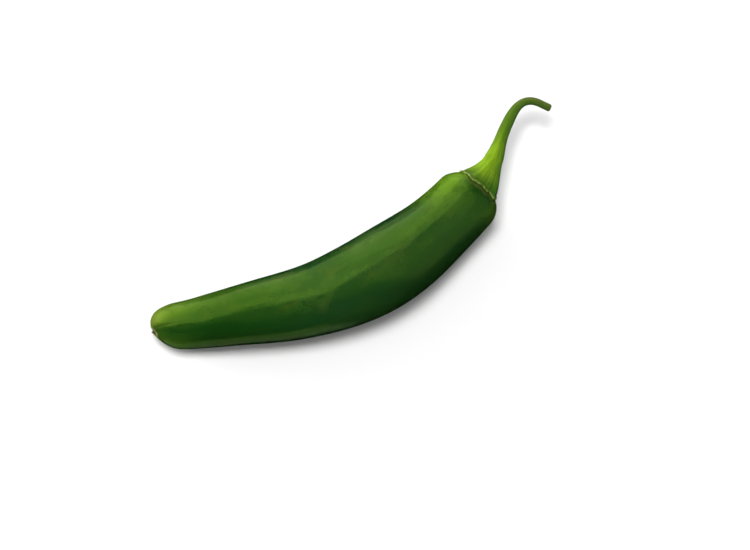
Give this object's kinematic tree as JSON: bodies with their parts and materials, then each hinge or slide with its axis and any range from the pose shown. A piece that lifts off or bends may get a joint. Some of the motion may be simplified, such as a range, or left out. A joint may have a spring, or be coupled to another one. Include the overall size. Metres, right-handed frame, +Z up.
{
  "type": "chilli pepper",
  "caption": "Slim, gently curved green chilli pepper with a rounded tip, a flared green calyx and a hooked stalk, lying on its side.",
  "frame": {"origin": "on the surface the pepper lies on, under the middle of its bounding box", "axes": "+X from the blossom end towards the stalk, +Y towards the hollow side of the bend, +Z up"},
  "size_m": [0.1156, 0.0362, 0.0201],
  "materials": {
    "skin": "semi-gloss waxy dark green skin",
    "stalk": "satin yellow-green plant stalk"
  },
  "bodies": {
    "root": {"fruit": "skin", "calyx_and_stalk": "stalk"}
  },
  "joints": []
}
